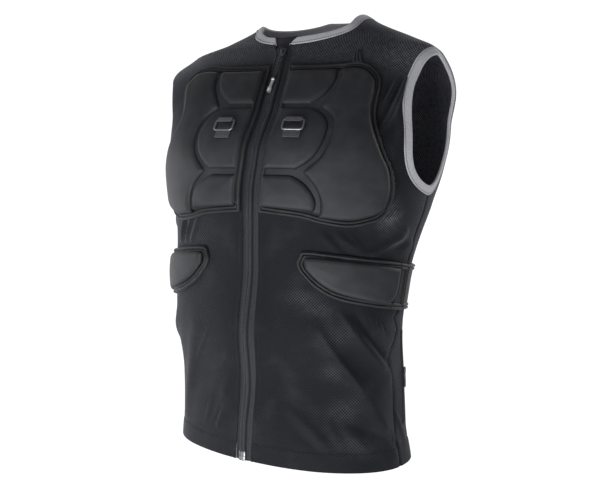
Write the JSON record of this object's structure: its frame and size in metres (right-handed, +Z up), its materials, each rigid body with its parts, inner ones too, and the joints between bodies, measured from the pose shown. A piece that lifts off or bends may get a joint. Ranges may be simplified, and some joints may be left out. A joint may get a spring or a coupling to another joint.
{
  "type": "protective vest",
  "caption": "Sleeveless zip-front mesh vest with raised foam chest blocks, small metal rings in webbing, padded waist belt and grey bound neck and armholes.",
  "frame": {"origin": "between the two neck points of the neck hole, level with the top of the neck binding, where the vest sits on the shoulders", "axes": "+Z up, -Y the way the wearer faces, +X to the wearer's left"},
  "size_m": [0.4311, 0.2948, 0.6107],
  "materials": {
    "mesh_cloth": "black perforated knit mesh",
    "pad_cloth": "smooth matte stretch cloth over foam",
    "edge_binding": "grey ribbed elastic binding",
    "zip_tape": "black woven tape",
    "webbing": "black woven webbing",
    "zip_plastic": "black moulded",
    "ring_steel": "dull nickel",
    "pull_chrome": "polished"
  },
  "bodies": {
    "vest": {"arm_binding_left": "edge_binding", "arm_binding_right": "edge_binding", "back_panel": "mesh_cloth", "belt_back": "pad_cloth", "belt_base_left": "pad_cloth", "belt_base_right": "pad_cloth", "belt_block_left": "pad_cloth", "belt_block_right": "pad_cloth", "chest_base_left": "pad_cloth", "chest_base_right": "pad_cloth", "chest_tab": "zip_tape", "collar_block_left": "pad_cloth", "collar_block_right": "pad_cloth", "front_panel_left": "mesh_cloth", "front_panel_right": "mesh_cloth", "loop_block_left": "pad_cloth", "loop_block_right": "pad_cloth", "loop_webbing_left": "webbing", "loop_webbing_right": "webbing", "neck_binding": "edge_binding", "pec_block_left": "pad_cloth", "pec_block_right": "pad_cloth", "pocket_zip": "zip_plastic", "pocket_zip_pull": "zip_plastic", "rib_block_left": "pad_cloth", "rib_block_right": "pad_cloth", "zip_box": "ring_steel", "zip_coil": "zip_plastic", "zip_garage": "zip_tape", "zip_pull_cord": "webbing", "zip_pull_end": "pull_chrome", "zip_slider": "zip_plastic", "zip_tape_left": "zip_tape", "zip_tape_right": "zip_tape"},
    "ring_left": {"loop_ring_left": "ring_steel"},
    "ring_right": {"loop_ring_right": "ring_steel"}
  },
  "joints": [
    {"name": "ring_left_swing", "type": "hinge", "parent": "vest", "child": "ring_left", "pos_m": [0.0612, -0.14935, -0.17104], "axis": [-0.9808, -0.1837, 0.0655], "range_deg": [0, 150]},
    {"name": "ring_right_swing", "type": "hinge", "parent": "vest", "child": "ring_right", "pos_m": [-0.03494, -0.15956, -0.16549], "axis": [-0.9976, -0.0168, 0.0666], "range_deg": [0, 150]}
  ]
}
